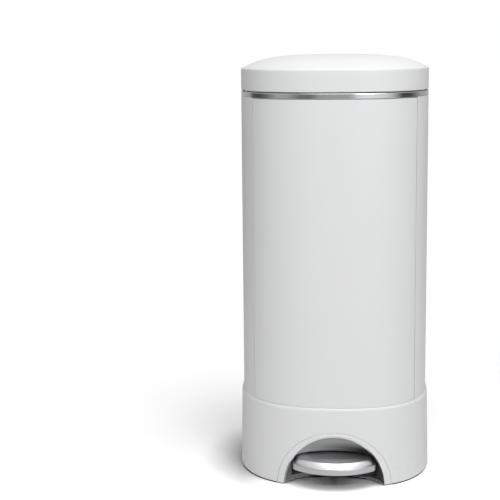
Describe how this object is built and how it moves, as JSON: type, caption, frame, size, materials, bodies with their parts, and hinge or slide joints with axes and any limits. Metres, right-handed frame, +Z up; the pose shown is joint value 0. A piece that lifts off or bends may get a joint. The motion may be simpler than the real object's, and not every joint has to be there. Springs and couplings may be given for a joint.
{
  "type": "nappy bin",
  "caption": "Tall white pedal nappy bin with a domed hinged lid, a bright band, a front door, a push-button release and a drop hole over a twisting film ring.",
  "frame": {"origin": "bottom centre of the whole object's bounding box, on the floor under the feet", "axes": "+Z up, +X to the right seen from the front, -Y towards the front with the pedal and door"},
  "size_m": [0.285, 0.27, 0.6165],
  "materials": {
    "white_shell": "gloss",
    "white_inner": "satin",
    "grey_plastic": "satin",
    "dark_plastic": "matte",
    "bright_trim": "polished",
    "silver_deck": "metallic satin",
    "steel": "satin",
    "brushed_steel": "brushed",
    "rubber": "matte",
    "acetal": "satin",
    "cassette": "translucent satin",
    "film": "gloss",
    "puck": "matte"
  },
  "bodies": {
    "bin": {"base_shell": "white_shell", "bottom_plate": "grey_plastic", "feet": "rubber", "arch_surround": "white_shell", "pedal_hood": "grey_plastic", "shaft_brackets": "steel", "pedal_shaft": "steel", "shaft_clips": "dark_plastic", "chamber_floor": "white_inner", "base_screws": "steel", "rear_shell": "white_shell", "top_frame": "white_inner", "bright_band": "bright_trim", "top_deck": "silver_deck", "deck_collar": "bright_trim", "button_bezel": "bright_trim", "latch_guide": "white_inner", "hinge_brackets": "steel", "hinge_damper": "dark_plastic", "rod_cover": "white_inner", "rod_guides": "acetal", "door_pins": "steel", "ring_cradle": "white_inner", "drive_plate": "white_inner", "idler_post": "steel", "deck_screws": "steel", "pedal_spring": "steel", "button_spring": "steel"},
    "lid": {"lid_shell": "white_shell", "lid_liner": "white_inner", "lid_seal": "rubber", "lid_arms": "white_inner", "lid_axle": "steel", "lift_crank": "steel", "axle_gear": "acetal", "liner_screws": "steel", "puck_socket": "white_inner", "deodoriser_puck": "puck"},
    "cap": {"puck_cap": "white_inner"},
    "door": {"door_panel": "white_shell", "door_tray": "white_inner", "door_strike": "steel"},
    "button": {"release_button": "bright_trim", "latch_stem": "grey_plastic"},
    "twister": {"twist_ring": "grey_plastic", "film_cassette": "cassette", "film_funnel": "film", "film_bag": "film"},
    "idler": {"idler_gear": "acetal"},
    "rack": {"twist_rack": "acetal"},
    "rod": {"lift_rod": "steel", "rod_clevis": "steel", "rod_pins": "steel"},
    "pedal": {"pedal_lever": "steel", "pedal_rim": "brushed_steel", "pedal_tread": "brushed_steel", "lever_bushes": "acetal"}
  },
  "joints": [
    {"name": "lid_hinge", "type": "hinge", "parent": "bin", "child": "lid", "pos_m": [0, 0.112, 0.53], "axis": [-1, 0, 0], "range_deg": [0, 80]},
    {"name": "pedal_pivot", "type": "hinge", "parent": "bin", "child": "pedal", "pos_m": [0, -0.01344, 0.022], "axis": [1, 0, 0], "range_deg": [0, 9], "deforming": ["pedal_spring"]},
    {"name": "rod_slide", "type": "slide", "parent": "bin", "child": "rod", "axis": [0, 0, 1], "range_m": [0, 0.018]},
    {"name": "rack_slide", "type": "slide", "parent": "bin", "child": "rack", "axis": [0, -1, 0], "range_m": [0, 0.01047]},
    {"name": "idler_spin", "type": "hinge", "parent": "bin", "child": "idler", "pos_m": [0.0275, 0.08684, 0.508], "axis": [0, 0, 1], "range_deg": [0, 80]},
    {"name": "ring_twist", "type": "hinge", "parent": "bin", "child": "twister", "pos_m": [0, -0.002, 0.508], "axis": [0, 0, -1], "range_deg": [0, 23.33]},
    {"name": "door_hinge", "type": "hinge", "parent": "bin", "child": "door", "pos_m": [0.10548, -0.07071, 0.118], "axis": [0, 0, 1], "range_deg": [0, 95]},
    {"name": "button_press", "type": "slide", "parent": "bin", "child": "button", "axis": [0, 0, -1], "range_m": [0, 0.005], "stiffness_N_per_m": 400, "springref_m": -0.002, "deforming": ["button_spring"]},
    {"name": "cap_twist", "type": "hinge", "parent": "lid", "child": "cap", "pos_m": [0, -0.002, 0.5682], "axis": [0, 0, 1], "range_deg": [0, 30]}
  ],
  "couplings": [
    {"joint": "pedal_pivot", "follows": "lid_hinge", "ratio": 0.1125},
    {"joint": "rod_slide", "follows": "lid_hinge", "m_per_rad": 0.012892},
    {"joint": "rack_slide", "follows": "lid_hinge", "m_per_rad": 0.0075},
    {"joint": "idler_spin", "follows": "lid_hinge", "ratio": 1},
    {"joint": "ring_twist", "follows": "lid_hinge", "ratio": 0.29167}
  ]
}
